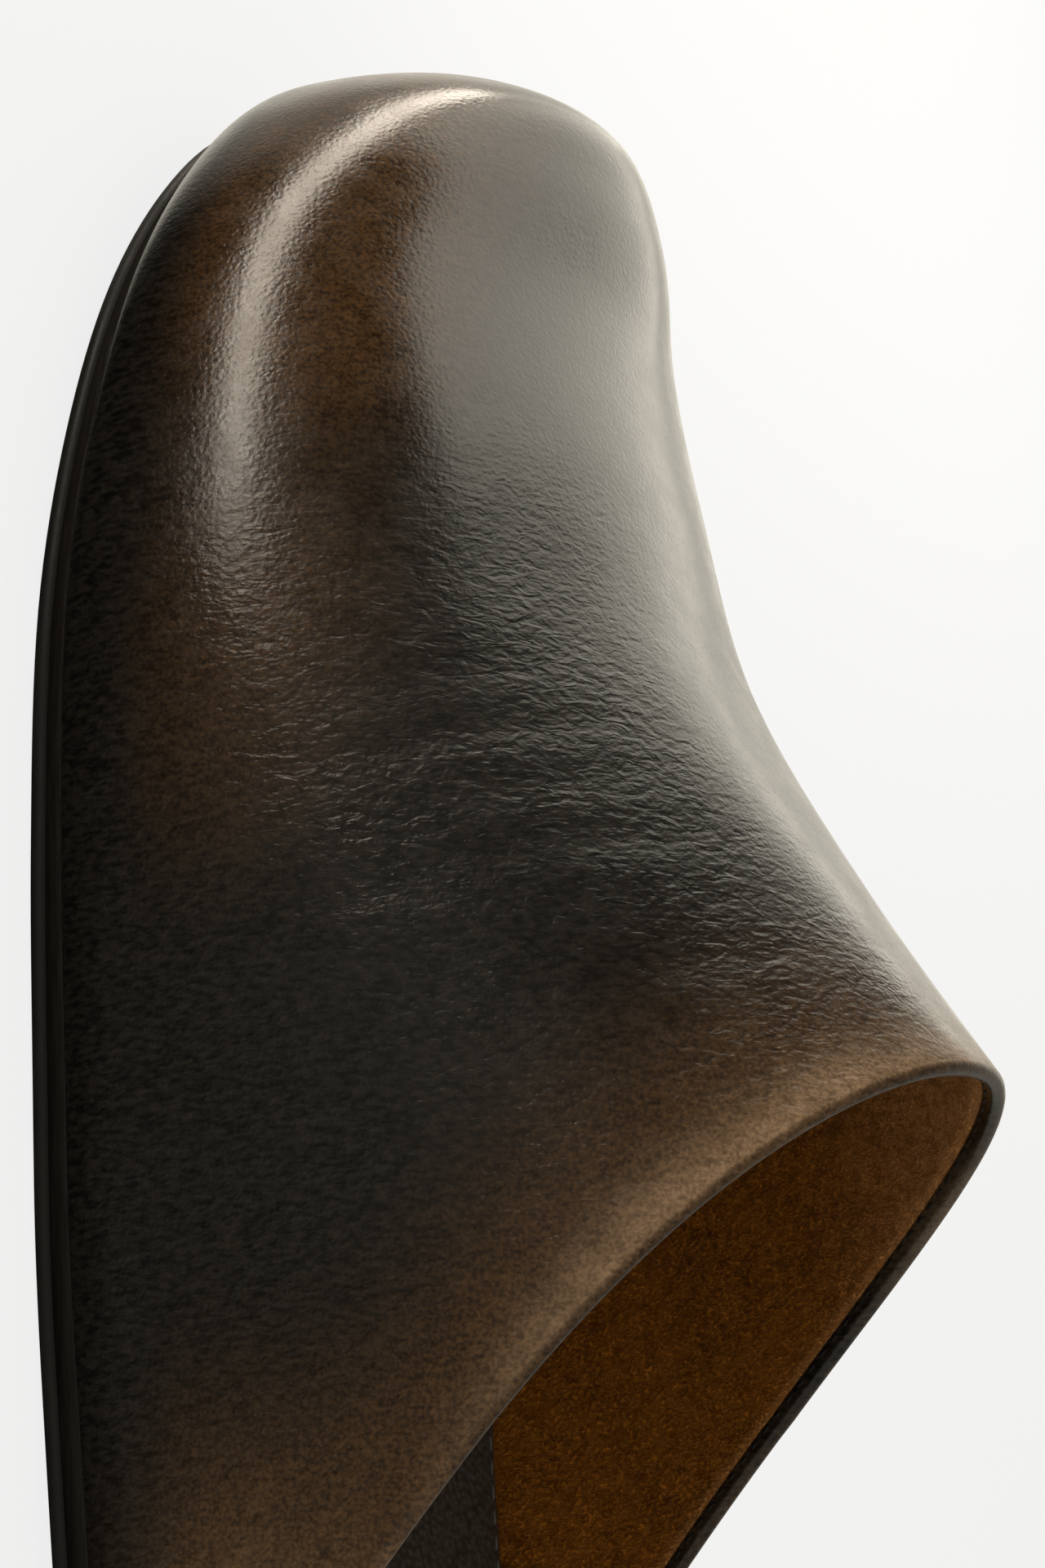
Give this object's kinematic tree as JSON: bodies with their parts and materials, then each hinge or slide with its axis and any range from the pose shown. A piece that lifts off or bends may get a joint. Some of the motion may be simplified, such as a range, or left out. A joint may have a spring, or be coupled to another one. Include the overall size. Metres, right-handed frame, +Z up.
{
  "type": "mule clog",
  "caption": "Closed-toe backless mule clog for the left foot, moulded leather upper on a thin sole with a low heel.",
  "frame": {"origin": "on the floor, under the middle of the shoe's outer box", "axes": "+Y along the shoe toward the toe, +X toward the inner side of the left foot, +Z up"},
  "size_m": [0.0936, 0.2679, 0.0815],
  "materials": {
    "outsole": "matt black rubber",
    "heel": "matt black rubber",
    "midsole": "edge-dyed leather board, satin",
    "insole": "black grained leather cover",
    "upper": "dark burnished smooth leather, waxed, suede lining"
  },
  "bodies": {
    "root": {"outsole": "outsole", "heel": "heel", "midsole": "midsole", "insole": "insole", "upper": "upper"}
  },
  "joints": []
}
